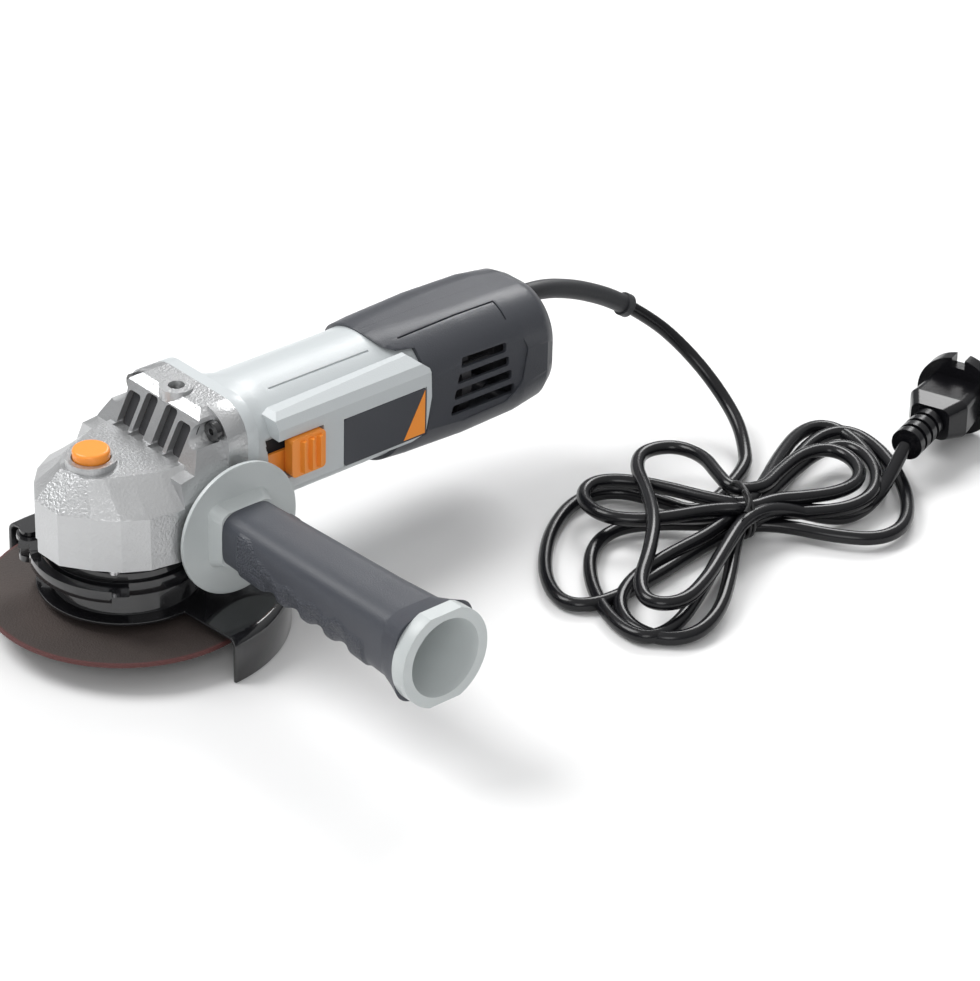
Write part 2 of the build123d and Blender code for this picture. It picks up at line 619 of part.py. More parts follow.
# supply cable from the boot to the hank, and from the hank to the plug
LEAD_PATH = [(-268, 4.5, 47.0), (-279.5, 8, 38.0), (-288.5, 15, 27.5), (-294, 26, 16.5), (-295, 39, 7.0),
             (-291.5, 52, 1.0), (-284, 64, -3.5), (-275, 74, -5.5)]
TAIL_LEAD_PATH = [(-273.8, 129.5, -5.6), (-286.8, 132, -5.0), (-299.8, 130, -1.5), (-311.8, 125.5, 4.0),
                  (-322.8, 121, 9.3)]
HANK = [(-153, 80), (-141, 106), (-141, 136), (-158, 152), (-205, 151), (-262, 148), (-297, 140), (-316, 113),
        (-330, 103), (-338, 88), (-334, 62), (-304, 50), (-262, 44), (-208, 43), (-178, 58)]
HANK_H = 17.0
PLUG_AT = (-322.8, 121.0, 9.3)
PLUG_TURN = 199.5         # heading of the plug's pins, degrees from +X
PINS_X = 58.0             # face of the plug's flange, from the end of its relief


def turn_radii(points, share=0.45):
    """Arc radius at each inner point, as large as its two runs allow."""
    radii = []
    for i in range(1, len(points) - 1):
        a, b, c = Vector(*points[i - 1]), Vector(*points[i]), Vector(*points[i + 1])
        turn = radians((b - a).get_angle(c - b))
        radii.append(share * min((b - a).length, (c - b).length) / tan(turn / 2))
    return radii


def cord_tube(points, r, name):
    radii = turn_radii(points)
    line = FilletPolyline(*points, radius=radii)
    start = Plane(origin=line @ 0, z_dir=line % 0)
    solid = sweep(start * Circle(r), path=line)
    print(name, "radii", [round(v, 1) for v in radii], "volume ratio",
          round(solid.volume / (pi * r * r * line.length), 4), "length", round(line.length, 1))
    return solid


def strain_relief_boot():
    body = cord_tube(BOOT_PATH, 4.2, "boot")
    line = FilletPolyline(*BOOT_PATH, radius=turn_radii(BOOT_PATH))
    collar = Plane(origin=line @ 0.97, z_dir=line % 0.97) * Cylinder(5.2, 3.2)
    root = cyl("x", 5.2, -208.5, -202.0, (0, BOOT_Z)) + cyl("x", 6.2, -202.6, -200.8, (0, BOOT_Z))
    return body + collar + root


def on_plug(shape):
    """Local +X is the way the pins point."""
    return Pos(*PLUG_AT) * Rot(0, 0, PLUG_TURN) * shape


def plug_body():
    rows = [(25, 18, 15), (34, 27, 18), (53, 25, 17)]
    body = loft([Plane.YZ.offset(x) * RectangleRounded(w, h, 4) for x, w, h in rows], ruled=True)
    flange = cyl("x", 18.2, PINS_X - 6.0, PINS_X)
    for a, b in ((13.6, 20), (-20, -13.6)):
        flange -= block((45, 70), (-3, 3), (a, b))
    relief = cyl("x", 5.0, 0, 26)
    for i in range(4):
        relief += cyl("x", 7.0, 1.5 + 6.0 * i, 5.4 + 6.0 * i)
    return on_plug(body + flange + relief)


def plug_pins():
    return [on_plug(cyl("x", 2.4, PINS_X, PINS_X + 19.0, (y, 0))) for y in (-9.5, 9.5)]


# ---- write every node ----
def main():
    head = gear_housing()
    save("gear_housing", head)
    save("gear_case_cover", gear_case_cover())
    save("gasket", gasket())
    save("gear_housing_screws", [screw("x", 2.0, 4.2, -24.4, -42.0, at) for at in FLANGE_SCREWS])
    turns = [radians(COVER_SCREW_TURN + 90 * i) for i in range(4)]
    places = [(COVER_SCREW_R * cos(t), COVER_SCREW_R * sin(t)) for t in turns]
    save("cover_screws", [screw("z", 1.6, 2.4, 30.6, 46.0, at) for at in places])
    save("top_bush", tube("z", 5.0, 4.0, 60.5, 66.0))
    outer, inner_ring, balls = ball_bearing("z", 16.0, 7.5, 21.0, 30.0)
    save("spindle_bearing_outer", outer)
    save("spindle_bearing_inner", inner_ring)
    save("spindle_bearing_balls", balls)
    save("bearing_retainer", tube("z", 19.8, 9.0, 33.0, 34.4))
    save("dust_seal", tube("z", 9.5, 8.7, 18.4, 20.9))

    save("spindle", spindle())
    save("crown_gear", crown_gear())
    save("backing_flange", backing_flange())
    save("cutting_disc", cutting_disc())
    save("clamping_nut", clamping_nut())
    save("gear_circlip", tube("z", 7.2, 6.0, 47.2, 48.2))

    shaft = cyl("x", 3.5, -27.5, -15.0, (0, MOTOR_Z)) + cyl("x", 4.0, -162.0, -27.5, (0, MOTOR_Z))
    save("armature_shaft", shaft)
    save("pinion", pinion())
    save("pinion_nut", pinion_nut())
    save("armature_core", armature_core())
    save("armature_windings", armature_windings())
    save("commutator", commutator())
    save("cooling_fan", fan())
    front_outer, front_inner, front_balls = ball_bearing("x", 11.0, 4.0, -36.8, -29.8, (0, MOTOR_Z))
    rear_outer, rear_inner, rear_balls = ball_bearing("x", 9.5, 4.0, -162.5, -156.5, (0, MOTOR_Z))
    save("motor_bearings_outer", [front_outer, rear_outer])
    save("motor_bearings_inner", [front_inner, rear_inner])
    save("motor_bearing_balls", front_balls + rear_balls)

    save("motor_housing", motor_housing())
    save("stator_core", stator_core())
    save("field_coils", field_coils())
    save("fan_baffle", fan_baffle())
    save("tail_shell_left", tail_half(1))
    save("tail_shell_right", tail_half(-1))
    save("tail_screws", [screw("y", 1.2, 2.5, -12.4, 11.0, at) for at in TAIL_SCREWS])
    save("rear_bearing_bridge", rear_bearing_bridge())
    save("brush_holders", [brush_holder(way) for way in (1, -1)])
    save("carbon_brushes", [carbon_brush(way) for way in (1, -1)])
    save("brush_springs", [brush_spring(way) for way in (1, -1)])
    save("power_switch", power_switch())
    save("capacitor", block((-189, -173), (-12, 10), (66, 75)))
    badge = [(-131, 43.8), (-131, 65.4), (-87.6, 65.4), (-87.6, 43.8)]
    save("badge_plate", prism("xz", badge, 30.4, 31.3, 1.5))

    save("switch_slider", switch_slider())
    save("switch_rod", switch_rod())
    save("lock_button", lock_button())
    save("lock_pin", lock_pin())
    save("lock_spring", lock_spring())

    save("handle_core", handle_core())
    save("handle_grip", handle_grip())
    save("handle_stud", handle_stud())

    save("guard_shell", guard_shell())
    save("clamp_band", clamp_band())
    save("clamp_screw", clamp_screw())
    save("guard_lever", guard_lever())

    save("strain_relief_boot", strain_relief_boot())
    save("power_cord", [cord_tube(LEAD_PATH, CORD_R, "lead"), cord_tube(TAIL_LEAD_PATH, CORD_R, "plug lead")])
    save("cord_hank", prism("xy", HANK, FLOOR_Z, FLOOR_Z + HANK_H, 10))
    save("plug_body", plug_body())
    save("plug_pins", plug_pins())


main()
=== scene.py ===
from math import cos, pi, radians, sin, tau

import bmesh
import bpy
from mathutils import Matrix, Vector


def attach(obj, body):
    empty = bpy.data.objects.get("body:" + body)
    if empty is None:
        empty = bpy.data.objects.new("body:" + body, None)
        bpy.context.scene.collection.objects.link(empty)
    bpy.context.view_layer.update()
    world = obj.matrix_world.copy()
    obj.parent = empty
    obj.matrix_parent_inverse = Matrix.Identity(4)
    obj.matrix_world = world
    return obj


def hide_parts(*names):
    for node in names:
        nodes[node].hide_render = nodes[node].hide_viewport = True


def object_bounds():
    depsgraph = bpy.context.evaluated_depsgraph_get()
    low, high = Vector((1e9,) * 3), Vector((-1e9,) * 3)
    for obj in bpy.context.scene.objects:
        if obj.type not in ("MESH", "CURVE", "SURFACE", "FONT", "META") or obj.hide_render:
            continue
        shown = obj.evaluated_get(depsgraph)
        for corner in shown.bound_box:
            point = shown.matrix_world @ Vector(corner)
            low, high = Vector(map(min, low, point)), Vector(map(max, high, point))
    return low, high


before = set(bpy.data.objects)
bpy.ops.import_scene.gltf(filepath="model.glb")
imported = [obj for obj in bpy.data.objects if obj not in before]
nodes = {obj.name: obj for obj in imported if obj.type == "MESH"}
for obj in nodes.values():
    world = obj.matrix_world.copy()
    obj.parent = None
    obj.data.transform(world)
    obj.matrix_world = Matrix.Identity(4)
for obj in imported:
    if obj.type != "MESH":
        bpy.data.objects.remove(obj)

cad_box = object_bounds()


# ---- camera ----
# It looks down past the nose from the tool's front left, from about 1.8 m, with a long lens.
# The three look_ directions are its own right, up and backward.
CAMERA_AT = (0.92617, 1.25613, 0.94694)
camera_data = bpy.data.cameras.new("camera")
camera_data.lens = 165.85
camera_data.sensor_width = 36.0
camera_data.clip_start = 0.1
camera = bpy.data.objects.new("camera", camera_data)
bpy.context.scene.collection.objects.link(camera)
look_right = Vector((-0.75362, 0.65701, 0.02013))
look_up = Vector((-0.31423, -0.38700, 0.86688))
look_back = look_right.cross(look_up)
turn = Matrix((look_right, look_up, look_back)).transposed()
camera.matrix_world = Matrix.Translation(CAMERA_AT) @ turn.to_4x4()
bpy.context.scene.camera = camera


# ---- supply cord ----
# Rubber mains cord, 6 mm, a little over 2 m long. It leaves the boot at the tail, arcs down to
# the floor, goes round a loose tied hank and runs on into the plug.
CORD_R = 0.003
TIE_AT = Vector((-0.2395, 0.1091, 0.002))
LEAD = [(-268, 4.5, 47.0), (-279.5, 8, 38.0), (-288.5, 15, 27.5), (-294, 26, 16.5),
        (-295, 39, 7.0), (-291.5, 52, 1.0), (-284, 64, -3.5), (-275, 74, -5.5)]
PLUG_LEAD = [(-273.8, 129.5, -5.6), (-286.8, 132, -5.0), (-299.8, 130, -1.5),
             (-311.8, 125.5, 4.0), (-322.8, 121, 9.3)]
# Each loop of the hank in mm: reach of its tip and its half width, both as X and Y from the tie,
# then the height of its tip and the height at the tie.
NEAR_LOOPS = [(80, -36, -34, -34, -5.7, -4.5), (88, 7, -18, -38, -5.7, -2),
              (90, 36, 4, -22, -5.7, 1.5), (47, -49, -10, -14, 4, 5)]
FAR_LOOPS = [(-84, 8, 22, 41, -4.5, -3), (-73, 4, 12, 22, 1, 0), (-86, -12, 14, 33, -5, 3),
             (-66, -1, 5, 17, 3, 6)]
# The ninth loop lies over the others, point by point.
LAST_LOOP = [(-241, 100, 8.0), (-246, 86, 7.8), (-253, 70, 7.0), (-250, 55, 6.6),
             (-236, 50, 6.6), (-224, 59, 6.8), (-214, 77, 7.2), (-199, 98, 8.0),
             (-180, 115, 7.0), (-163, 127, 5.0), (-156, 140, 4.0), (-167, 149, 4.0),
             (-186, 143, 5.0), (-208, 131, 6.5), (-230, 119, 7.0), (-250, 118, 5.0)]
LOOP_POINTS = 13
LOOP_FULLNESS = 0.65
LAYER_RISE = 3.2
SWING_STEP, SWING_SHIFT, SWING_X = 3.5, 1.7, 0.4


def loop_points(reach_x, reach_y, half_x, half_y, tip_z, tie_z):
    """Teardrop that leaves the tie, swells towards its tip and comes back to the tie."""
    points = []
    for step in range(2, LOOP_POINTS - 1):
        t = tau * step / LOOP_POINTS
        out = (1 - cos(t)) / 2
        side = sin(t) * sin(t / 2) ** 2 / LOOP_FULLNESS
        points.append((TIE_AT.x * 1000 + out * reach_x + side * half_x,
                       TIE_AT.y * 1000 + out * reach_y + side * half_y,
                       tie_z + (tip_z - tie_z) * sin(t / 2) ** 2))
    return points


route = list(LEAD)
for turn_no, near in enumerate(NEAR_LOOPS):
    rise = LAYER_RISE * turn_no
    swing = SWING_STEP * (turn_no % 2) - SWING_SHIFT
    if turn_no:
        route.append((TIE_AT.x * 1000 - swing * SWING_X, TIE_AT.y * 1000 - 1.0 + swing,
                      -4.5 + rise))
    route += loop_points(*near)
    route.append((TIE_AT.x * 1000 + swing * SWING_X, TIE_AT.y * 1000 + 2.0 + swing, -4.0 + rise))
    route += loop_points(*FAR_LOOPS[turn_no])
route += LAST_LOOP + PLUG_LEAD

cord_curve = bpy.data.curves.new("power_cord_run", "CURVE")
cord_curve.dimensions = "3D"
cord_curve.bevel_depth = CORD_R
cord_curve.bevel_resolution = 6
cord_curve.resolution_u = 8
cord_curve.use_fill_caps = True
spline = cord_curve.splines.new("NURBS")
spline.points.add(len(route) - 1)
for point, place in zip(spline.points, route):
    point.co = (place[0] / 1000, place[1] / 1000, place[2] / 1000, 1)
spline.order_u = 3
spline.use_endpoint_u = True
cord = bpy.data.objects.new("power_cord_run", cord_curve)
bpy.context.scene.collection.objects.link(cord)


def noise_tree(material):
    """Node tree, shader and coordinates of a fresh node material."""
    material.use_nodes = True
    tree = material.node_tree
    shader = tree.nodes["Principled BSDF"]
    coords = tree.nodes.new("ShaderNodeTexCoord")
    return tree, shader, coords


def make_skin_group():
    """Moulded or cast skin: mottled colour, uneven gloss and a fine bump height from two noises."""
    group = bpy.data.node_groups.new("skin", "ShaderNodeTree")
    for name, kind in (("Vector", "NodeSocketVector"), ("Colour", "NodeSocketColor"),
                       ("Worn", "NodeSocketColor"), ("Grain", "NodeSocketFloat"),
                       ("Mottle", "NodeSocketFloat"), ("Gloss", "NodeSocketFloat"),
                       ("Gloss change", "NodeSocketFloat")):
        group.interface.new_socket(name, in_out="INPUT", socket_type=kind)
    for name, kind in (("Colour", "NodeSocketColor"), ("Roughness", "NodeSocketFloat"),
                       ("Height", "NodeSocketFloat")):
        group.interface.new_socket(name, in_out="OUTPUT", socket_type=kind)
    into = group.nodes.new("NodeGroupInput")
    out = group.nodes.new("NodeGroupOutput")
    fine = group.nodes.new("ShaderNodeTexNoise")
    fine.inputs["Detail"].default_value = 3
    broad = group.nodes.new("ShaderNodeTexNoise")
    broad.inputs["Scale"].default_value = 38
    broad.inputs["Detail"].default_value = 5
    blend = group.nodes.new("ShaderNodeMix")
    blend.data_type = "RGBA"
    amount = group.nodes.new("ShaderNodeMath")
    amount.operation = "MULTIPLY"
    gloss = group.nodes.new("ShaderNodeMath")
    gloss.operation = "MULTIPLY_ADD"
    links = group.links
    links.new(into.outputs["Vector"], fine.inputs["Vector"])
    links.new(into.outputs["Grain"], fine.inputs["Scale"])
    links.new(into.outputs["Vector"], broad.inputs["Vector"])
    links.new(broad.outputs["Fac"], amount.inputs[0])
    links.new(into.outputs["Mottle"], amount.inputs[1])
    links.new(amount.outputs[0], blend.inputs["Factor"])
    links.new(into.outputs["Colour"], blend.inputs["A"])
    links.new(into.outputs["Worn"], blend.inputs["B"])
    links.new(broad.outputs["Fac"], gloss.inputs[0])
    links.new(into.outputs["Gloss change"], gloss.inputs[1])
    links.new(into.outputs["Gloss"], gloss.inputs[2])
    links.new(blend.outputs["Result"], out.inputs["Colour"])
    links.new(gloss.outputs[0], out.inputs["Roughness"])
    links.new(fine.outputs["Fac"], out.inputs["Height"])
    return group


skin_group = make_skin_group()


def finish(name, colour, worn, gloss, grain, bump=0.1, mottle=0.6, gloss_change=0.12,
           metallic=0.0, coat=0.0, specular=0.5):
    """One finish of this tool: the skin group with its own colours, gloss, grain and bump."""
    material = bpy.data.materials.new(name)
    tree, shader, coords = noise_tree(material)
    skin = tree.nodes.new("ShaderNodeGroup")
    skin.node_tree = skin_group
    skin.inputs["Colour"].default_value = (*colour, 1)
    skin.inputs["Worn"].default_value = (*worn, 1)
    skin.inputs["Grain"].default_value = grain
    skin.inputs["Mottle"].default_value = mottle
    skin.inputs["Gloss"].default_value = gloss - gloss_change / 2
    skin.inputs["Gloss change"].default_value = gloss_change
    height = tree.nodes.new("ShaderNodeBump")
    height.inputs["Strength"].default_value = bump
    height.inputs["Distance"].default_value = 0.0004
    links = tree.links
    links.new(coords.outputs["Object"], skin.inputs["Vector"])
    links.new(skin.outputs["Colour"], shader.inputs["Base Color"])
    links.new(skin.outputs["Roughness"], shader.inputs["Roughness"])
    links.new(skin.outputs["Height"], height.inputs["Height"])
    links.new(height.outputs["Normal"], shader.inputs["Normal"])
    shader.inputs["Metallic"].default_value = metallic
    shader.inputs["Coat Weight"].default_value = coat
    shader.inputs["Specular IOR Level"].default_value = specular
    return material


def dress(obj, material):
    """Gives the piece this one material."""
    obj.data.materials.clear()
    obj.data.materials.append(material)


cord_rubber = finish("cord_rubber", (0.004, 0.004, 0.005), (0.008, 0.008, 0.010), 0.22, 900,
                     0.08, specular=0.35)
dress(cord, cord_rubber)
for part in ("power_cord", "cord_hank", "plug_body"):
    dress(nodes[part], cord_rubber)
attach(cord, "root")
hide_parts("power_cord", "cord_hank")


# ---- twist tie ----
# Thin black plastic-coated wire, wound once and a half round the hank's waist. Its free end
# sticks out sideways and turns down.
TIE_WIRE_R = 0.0008
TIE_TURNS = 1.5
TIE_STEPS = 19
TIE_MID_Z = 0.0035
TIE_HALF_WIDTH, TIE_HALF_HEIGHT = 0.0125, 0.0115
tie_curve = bpy.data.curves.new("hank_tie", "CURVE")
tie_curve.dimensions = "3D"
tie_curve.bevel_depth = TIE_WIRE_R
tie_curve.bevel_resolution = 3
tie_spline = tie_curve.splines.new("NURBS")
tie_axis = Vector((0.9, -0.32, 0)).normalized()
tie_side = Vector((0.32, 0.9, 0)).normalized()
tie_points = []
for step in range(TIE_STEPS + 1):
    t = -0.6 * pi + tau * TIE_TURNS * step / TIE_STEPS
    grow = 0.0005 * step / TIE_STEPS
    tie_points.append(Vector((TIE_AT.x, TIE_AT.y, TIE_MID_Z))
                      + tie_side * (TIE_HALF_WIDTH + grow) * cos(t)
                      + Vector((0, 0, TIE_HALF_HEIGHT + grow)) * sin(t)
                      + tie_axis * 0.003 * step / TIE_STEPS)
tie_end = tie_points[-1]
tie_points += [tie_end + tie_side * 0.004 + Vector((0, 0, 0.002)),
               tie_end + tie_side * 0.009 + Vector((0, 0, -0.001)),
               tie_end + tie_side * 0.012 + tie_axis * 0.004 + Vector((0, 0, -0.003))]
tie_spline.points.add(len(tie_points) - 1)
for point, place in zip(tie_spline.points, tie_points):
    point.co = (*place, 1)
tie_spline.order_u = 3
tie_spline.use_endpoint_u = True
tie = bpy.data.objects.new("hank_tie", tie_curve)
bpy.context.scene.collection.objects.link(tie)
dress(tie, finish("tie_plastic", (0.008, 0.008, 0.009), (0.02, 0.02, 0.02), 0.35, 1200, 0.05))
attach(tie, "root")


# ---- gear head ----
# Aluminium casting and its cover, left bare: bright, slightly rough from the mould, with softened
# edges. Four screws hold the cover under the casting, and four hold the casting to the motor.
def soften(obj, width, segments=2, angle=32):
    """Rounds a CAD node's sharp edges for the eye; its own mesh stays as it is."""
    weld = obj.modifiers.new("weld", "WELD")
    weld.merge_threshold = 0.00001
    bevel = obj.modifiers.new("edge", "BEVEL")
    bevel.width = width
    bevel.segments = segments
    bevel.limit_method = "ANGLE"
    bevel.angle_limit = radians(angle)
    bevel.use_clamp_overlap = True
    bevel.harden_normals = False


cast = finish("cast_aluminium", (0.54, 0.545, 0.55), (0.42, 0.425, 0.43), 0.36, 900, 0.6, 0.6,
              0.16, metallic=0.88)
for part in ("gear_housing", "gear_case_cover"):
    dress(nodes[part], cast)
    soften(nodes[part], 0.0008)


# ---- turned and hardened steel ----
# Spindle, shaft, gears, bearings, flanges, screws, springs and the plug's pins: steel, turned or
# ground, with a fine uneven sheen. Pressed, screwed or sprung into place.
bright_steel = finish("machined_steel", (0.62, 0.62, 0.63), (0.45, 0.45, 0.46), 0.28, 700, 0.15,
                      metallic=1.0)
for part in ("cover_screws", "tail_screws", "spindle_bearing_outer", "spindle_bearing_inner",
             "spindle_bearing_balls", "bearing_retainer", "spindle", "crown_gear",
             "backing_flange", "clamping_nut", "gear_circlip", "armature_shaft", "pinion",
             "pinion_nut", "motor_bearings_outer", "motor_bearings_inner",
             "motor_bearing_balls", "lock_pin", "lock_spring", "handle_stud", "brush_springs",
             "plug_pins"):
    dress(nodes[part], bright_steel)


# ---- wheel guard ----
# Pressed steel shell with its clamp band, screw and lever, all under gloss black paint. The band
# closes round the cover's neck. The gear head's screws have the same black finish.
black_paint = finish("gloss_black_paint", (0.006, 0.006, 0.007), (0.018, 0.018, 0.02), 0.16,
                     260, 0.10, 0.5, 0.08, coat=0.6)
for part in ("gear_housing_screws", "guard_shell", "clamp_band", "guard_lever", "clamp_screw"):
    dress(nodes[part], black_paint)
for part in ("guard_shell", "clamp_band", "guard_lever"):
    soften(nodes[part], 0.0004)


# ---- motor and switch gear ----
# Laminated iron cores with enamelled copper windings, carbon brushes in brass holders, and the
# switch, fan, gasket and baffle in dark plastic. All of it sits inside the shells.
brass = finish("brass", (0.60, 0.45, 0.20), (0.45, 0.33, 0.15), 0.3, 700, 0.1, metallic=1.0)
copper = finish("enamelled_copper", (0.45, 0.17, 0.07), (0.3, 0.1, 0.04), 0.32, 1500, 0.5,
                metallic=0.8)
laminate = finish("iron_laminate", (0.25, 0.25, 0.27), (0.15, 0.15, 0.16), 0.45, 1800, 0.6,
                  metallic=0.8)
carbon = finish("carbon", (0.03, 0.03, 0.03), (0.05, 0.05, 0.05), 0.6, 900, 0.3)
felt = finish("felt", (0.2, 0.2, 0.2), (0.3, 0.3, 0.3), 0.9, 2500, 0.9)
inner_plastic = finish("inner_plastic", (0.02, 0.02, 0.022), (0.04, 0.04, 0.045), 0.5, 700, 0.2)
for part in ("top_bush", "brush_holders"):
    dress(nodes[part], brass)
for part in ("armature_windings", "field_coils", "commutator"):
    dress(nodes[part], copper)
for part in ("armature_core", "stator_core"):
    dress(nodes[part], laminate)
dress(nodes["carbon_brushes"], carbon)
dress(nodes["dust_seal"], felt)
for part in ("gasket", "fan_baffle", "cooling_fan", "rear_bearing_bridge", "power_switch",
             "capacitor", "switch_rod"):
    dress(nodes[part], inner_plastic)


# ---- body shells ----
# Light grey glass-filled nylon round the motor and two slate-grey tail halves screwed together,
# moulded with a satin texture. The slider and the lock button are orange nylon.
light_plastic = finish("light_plastic", (0.53, 0.56, 0.57), (0.49, 0.52, 0.53), 0.34, 1500,
                       0.12, 0.5, 0.08)
dark_plastic = finish("slate_plastic", (0.040, 0.043, 0.052), (0.055, 0.058, 0.068), 0.40, 1500,
                      0.22, 0.6, 0.10)
dress(nodes["motor_housing"], light_plastic)
soften(nodes["motor_housing"], 0.0007)
for part in ("tail_shell_left", "tail_shell_right"):
    dress(nodes[part], dark_plastic)
    soften(nodes[part], 0.0005)
orange_plastic = finish("orange_plastic", (0.92, 0.31, 0.04), (0.85, 0.26, 0.03), 0.33, 1400,
                        0.10, 0.5, 0.08)
for part in ("switch_slider", "lock_button"):
    dress(nodes[part], orange_plastic)
    soften(nodes[part], 0.0005)
boot_rubber = finish("boot_rubber", (0.022, 0.023, 0.026), (0.035, 0.036, 0.04), 0.5, 900, 0.25)
dress(nodes["strain_relief_boot"], boot_rubber)
dress(nodes["badge_plate"], dark_plastic)


# ---- badge flash ----
# Orange wedge on the rear end of the badge plate: a printed film 0.15 mm thick, stuck flat on
# the plate's outer face.
BADGE_FACE_Y = 0.03131
FILM = 0.00015
flash_build = bmesh.new()
flash_corners = [(-0.1302, 0.0645), (-0.1302, 0.0446), (-0.1190, 0.0446)]
flash_verts = [flash_build.verts.new((x, BADGE_FACE_Y, z)) for x, z in flash_corners]
flash_face = flash_build.faces.new(flash_verts)
lifted = bmesh.ops.extrude_face_region(flash_build, geom=[flash_face])
bmesh.ops.translate(flash_build, vec=(0, FILM, 0),
                    verts=[v for v in lifted["geom"] if isinstance(v, bmesh.types.BMVert)])


def piece_from(build, name, material, smooth=True):
    """Finished piece made from a bmesh, with its faces pointing outwards."""
    bmesh.ops.remove_doubles(build, verts=build.verts, dist=0.000001)
    bmesh.ops.recalc_face_normals(build, faces=build.faces)
    mesh = bpy.data.meshes.new(name)
    build.to_mesh(mesh)
    build.free()
    if smooth:
        mesh.shade_smooth()
    made = bpy.data.objects.new(name, mesh)
    bpy.context.scene.collection.objects.link(made)
    dress(made, material)
    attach(made, "root")
    return made


flash = piece_from(flash_build, "badge_flash", orange_plastic, smooth=False)


# ---- vent shade plate ----
# Painted shade: a thin dark plate behind the four air outlets of the gear head, slanted as they
# are, stands in for the shade inside them and keeps the motor out of sight.
SHADE_PLATE_HALF_WIDTH = 0.0212
SHADE_PLATE_THICKNESS = 0.0006
shade_plate_build = bmesh.new()
bmesh.ops.create_grid(shade_plate_build, x_segments=1, y_segments=1, size=1.0)
low_edge, high_edge = Vector((-0.0142, 0, 0.0665)), Vector((-0.0238, 0, 0.0846))
for corner in shade_plate_build.verts:
    spot = low_edge.lerp(high_edge, 0.5 + 0.5 * corner.co.y)
    corner.co = (spot.x, SHADE_PLATE_HALF_WIDTH * corner.co.x, spot.z)
bmesh.ops.solidify(shade_plate_build, geom=shade_plate_build.faces, thickness=SHADE_PLATE_THICKNESS)
# This dark plate is painted shade inside the outlets.
shade_plate = piece_from(shade_plate_build, "vent_shade_plate", inner_plastic, smooth=False)


# ---- side handle ----
# Grey nylon core with a hand-guard disc and an open end ring, moulded in one piece round the
# steel stud that screws into the gear head. The slate grip is moulded over it.
handle_plastic = finish("handle_plastic", (0.50, 0.53, 0.53), (0.45, 0.48, 0.48), 0.35, 1400,
                        0.12, 0.5, 0.08)
dress(nodes["handle_core"], handle_plastic)
soften(nodes["handle_core"], 0.0006)
grip_rubber = finish("grip_rubber", (0.042, 0.046, 0.058), (0.055, 0.06, 0.072), 0.46, 1800,
                     0.3)
dress(nodes["handle_grip"], grip_rubber)


# ---- moulded grip ----
# Soft plastic sleeve shot round the core: a rounded square section that flares towards the ring,
# with finger hollows underneath and raised, stippled pads on both flanks.
GRIP_AXIS = Vector((-0.027, 0, 0.0414))
# Rows of the sleeve: Y, half width, half height.
GRIP_ROWS = [(0.0450, 0.0130, 0.0123), (0.058, 0.0134, 0.0126), (0.090, 0.0142, 0.0132),
             (0.125, 0.0150, 0.0140), (0.146, 0.0160, 0.0150), (0.153, 0.0180, 0.0170),
             (0.1583, 0.0198, 0.0188)]
FINGERS = [0.074, 0.089, 0.104, 0.119]
SQUARENESS = 3.6
FINGER_DEPTH = 0.0016
PAD_RISE = 0.0009
RING_BORE_R = 0.0172


def grip_half_sizes(y):
    """Half width and half height of the sleeve at y, eased between the rows."""
    for (y0, w0, h0), (y1, w1, h1) in zip(GRIP_ROWS, GRIP_ROWS[1:]):
        if y <= y1:
            share = (y - y0) / (y1 - y0)
            return w0 + (w1 - w0) * share, h0 + (h1 - h0) * share
    return GRIP_ROWS[-1][1:]


def ramp(value, start, end):
    """Smooth step from 0 at start to 1 at end."""
    share = min(max((value - start) / (end - start), 0.0), 1.0)
    return share * share * (3 - 2 * share)


def pad_mask(y, around):
    """1 on the raised pads: a band low on each flank, with a scalloped upper edge."""
    down = -sin(around)
    upper = -0.62 + 0.72 * ramp(y, 0.060, 0.078)
    for finger in FINGERS:
        upper -= 0.16 * max(0.0, 1 - ((y - finger) / 0.0055) ** 2)
    band = ramp(down, upper, upper + 0.05) * (1 - ramp(down, 0.97, 0.995))
    return band * ramp(y, 0.0545, 0.0555) * (1 - ramp(y, 0.134, 0.135))


def grip_point(y, around):
    """Point of the sleeve's surface, with the pad mask there."""
    half_w, half_h = grip_half_sizes(y)
    x, z = cos(around), sin(around)
    scale = (abs(x) ** SQUARENESS + abs(z) ** SQUARENESS) ** (-1 / SQUARENESS)
    mask = pad_mask(y, around)
    hollow = 0.0
    for finger in FINGERS:
        hollow += max(0.0, 1 - ((y - finger) / 0.0062) ** 2)
    sunk = FINGER_DEPTH * min(hollow, 1.0) * ramp(-z, 0.05, 0.5)
    rise = PAD_RISE * mask - sunk
    x, z = x * scale * (half_w + rise), z * scale * (half_h + rise)
    return Vector((GRIP_AXIS.x + x, y, GRIP_AXIS.z + z)), mask


grip_build = bmesh.new()
bmesh.ops.create_grid(grip_build, x_segments=190, y_segments=144, size=1.0)
pad_layer = grip_build.verts.layers.float.new("pad")
for vert in grip_build.verts:
    along = GRIP_ROWS[0][0] + (GRIP_ROWS[-1][0] - GRIP_ROWS[0][0]) * (vert.co.x + 1) / 2
    vert.co, vert[pad_layer] = grip_point(along, pi * vert.co.y)
bmesh.ops.remove_doubles(grip_build, verts=grip_build.verts, dist=0.000001)
near_rim = [e for e in grip_build.edges if e.is_boundary and e.verts[0].co.y < 0.1]
bmesh.ops.holes_fill(grip_build, edges=near_rim)
far_rim = [e for e in grip_build.edges if e.is_boundary]
turned_in = bmesh.ops.extrude_edge_only(grip_build, edges=far_rim)
for vert in (v for v in turned_in["geom"] if isinstance(v, bmesh.types.BMVert)):
    spoke = vert.co - Vector((GRIP_AXIS.x, vert.co.y, GRIP_AXIS.z))
    vert.co = Vector((GRIP_AXIS.x, vert.co.y, GRIP_AXIS.z)) + spoke.normalized() * RING_BORE_R
grip = piece_from(grip_build, "grip_sleeve", grip_rubber)
grip.data.set_sharp_from_angle(angle=radians(50))
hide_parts("handle_grip")
